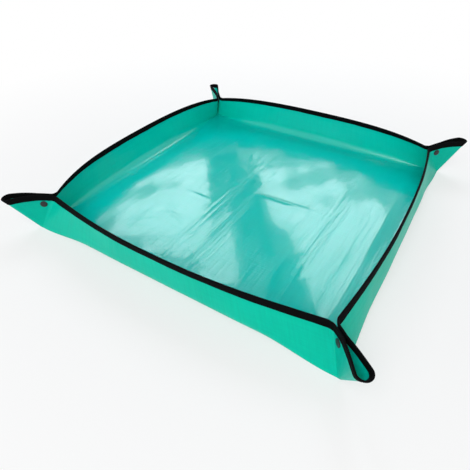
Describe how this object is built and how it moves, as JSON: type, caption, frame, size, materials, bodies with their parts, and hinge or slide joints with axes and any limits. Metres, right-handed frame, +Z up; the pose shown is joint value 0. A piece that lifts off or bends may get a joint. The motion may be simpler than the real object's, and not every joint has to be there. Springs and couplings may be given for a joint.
{
  "type": "potting soil tray",
  "caption": "Square flexible potting tray made of one waterproof sheet with a taped edge, its corners pinched up by snap fasteners so that the sides stand, and unsnapping to lie open.",
  "frame": {"origin": "centre of the square base on the surface it lies on", "axes": "+Z up from the base, +X and +Y along the base edges to the right and the back sides"},
  "size_m": [0.6782, 0.6782, 0.0756],
  "materials": {
    "sheet": "laminated sheet, glossy film inside and satin outside",
    "binding": "black woven tape folded over the edge and sewn",
    "snap": "moulded black plastic"
  },
  "bodies": {
    "base": {"base_panel": "sheet"},
    "front": {"front_side": "sheet", "front_tape": "binding"},
    "right": {"right_side": "sheet", "right_tape": "binding"},
    "back": {"back_side": "sheet", "back_tape": "binding"},
    "left": {"left_side": "sheet", "left_tape": "binding"},
    "front_left_ear_of_front": {"front_left_ear_front": "sheet", "front_left_tape_front": "binding", "front_left_cap": "snap", "front_left_socket": "snap"},
    "front_right_ear_of_front": {"front_right_ear_front": "sheet", "front_right_tape_front": "binding", "front_right_cap": "snap", "front_right_socket": "snap"},
    "front_right_ear_of_right": {"front_right_ear_right": "sheet", "front_right_tape_right": "binding", "front_right_stud": "snap", "front_right_back_cap": "snap"},
    "back_right_ear_of_right": {"back_right_ear_right": "sheet", "back_right_tape_right": "binding", "back_right_stud": "snap", "back_right_back_cap": "snap"},
    "back_right_ear_of_back": {"back_right_ear_back": "sheet", "back_right_tape_back": "binding", "back_right_cap": "snap", "back_right_socket": "snap"},
    "back_left_ear_of_back": {"back_left_ear_back": "sheet", "back_left_tape_back": "binding", "back_left_cap": "snap", "back_left_socket": "snap"},
    "back_left_ear_of_left": {"back_left_ear_left": "sheet", "back_left_tape_left": "binding", "back_left_stud": "snap", "back_left_back_cap": "snap"},
    "front_left_ear_of_left": {"front_left_ear_left": "sheet", "front_left_tape_left": "binding", "front_left_stud": "snap", "front_left_back_cap": "snap"}
  },
  "joints": [
    {"name": "front_fold", "type": "hinge", "parent": "base", "child": "front", "pos_m": [0, -0.303, 0.0004], "axis": [1, 0, 0], "range_deg": [0, 77]},
    {"name": "right_fold", "type": "hinge", "parent": "base", "child": "right", "pos_m": [0.303, 0, 0.0004], "axis": [0, 1, 0], "range_deg": [0, 77]},
    {"name": "back_fold", "type": "hinge", "parent": "base", "child": "back", "pos_m": [0, 0.303, 0.0004], "axis": [-1, 0, 0], "range_deg": [0, 77]},
    {"name": "left_fold", "type": "hinge", "parent": "base", "child": "left", "pos_m": [-0.303, 0, 0.0004], "axis": [0, -1, 0], "range_deg": [0, 77]},
    {"name": "front_left_ear_of_front_fold", "type": "hinge", "parent": "front", "child": "front_left_ear_of_front", "pos_m": [-0.29918, -0.303, 0.0004], "axis": [-0.3991, -0.3535, -0.846], "range_deg": [0, 40.85]},
    {"name": "front_right_ear_of_front_fold", "type": "hinge", "parent": "front", "child": "front_right_ear_of_front", "pos_m": [0.29918, -0.303, 0.0004], "axis": [-0.3991, 0.3535, 0.846], "range_deg": [0, 40.85]},
    {"name": "front_right_ear_of_right_fold", "type": "hinge", "parent": "right", "child": "front_right_ear_of_right", "pos_m": [0.303, -0.29918, 0.0004], "axis": [0.3567, -0.3991, -0.8447], "range_deg": [0, 40.85]},
    {"name": "back_right_ear_of_right_fold", "type": "hinge", "parent": "right", "child": "back_right_ear_of_right", "pos_m": [0.303, 0.29918, 0.0004], "axis": [-0.3567, -0.3991, 0.8447], "range_deg": [0, 40.85]},
    {"name": "back_right_ear_of_back_fold", "type": "hinge", "parent": "back", "child": "back_right_ear_of_back", "pos_m": [0.29918, 0.303, 0.0004], "axis": [0.3991, 0.3517, -0.8468], "range_deg": [0, 40.85]},
    {"name": "back_left_ear_of_back_fold", "type": "hinge", "parent": "back", "child": "back_left_ear_of_back", "pos_m": [-0.29918, 0.303, 0.0004], "axis": [0.3991, -0.3517, 0.8468], "range_deg": [0, 40.85]},
    {"name": "back_left_ear_of_left_fold", "type": "hinge", "parent": "left", "child": "back_left_ear_of_left", "pos_m": [-0.303, 0.29918, 0.0004], "axis": [-0.3492, 0.3991, -0.8478], "range_deg": [0, 40.85]},
    {"name": "front_left_ear_of_left_fold", "type": "hinge", "parent": "left", "child": "front_left_ear_of_left", "pos_m": [-0.303, -0.29918, 0.0004], "axis": [0.3492, 0.3991, 0.8478], "range_deg": [0, 40.85]}
  ],
  "couplings": [
    {"joint": "right_fold", "follows": "front_fold", "ratio": 1},
    {"joint": "back_fold", "follows": "front_fold", "ratio": 1},
    {"joint": "left_fold", "follows": "front_fold", "ratio": 1},
    {"joint": "front_left_ear_of_front_fold", "follows": "front_fold", "ratio": 0.53},
    {"joint": "front_right_ear_of_front_fold", "follows": "front_fold", "ratio": 0.53},
    {"joint": "front_right_ear_of_right_fold", "follows": "front_fold", "ratio": 0.53},
    {"joint": "back_right_ear_of_right_fold", "follows": "front_fold", "ratio": 0.53},
    {"joint": "back_right_ear_of_back_fold", "follows": "front_fold", "ratio": 0.53},
    {"joint": "back_left_ear_of_back_fold", "follows": "front_fold", "ratio": 0.53},
    {"joint": "back_left_ear_of_left_fold", "follows": "front_fold", "ratio": 0.53},
    {"joint": "front_left_ear_of_left_fold", "follows": "front_fold", "ratio": 0.53}
  ]
}
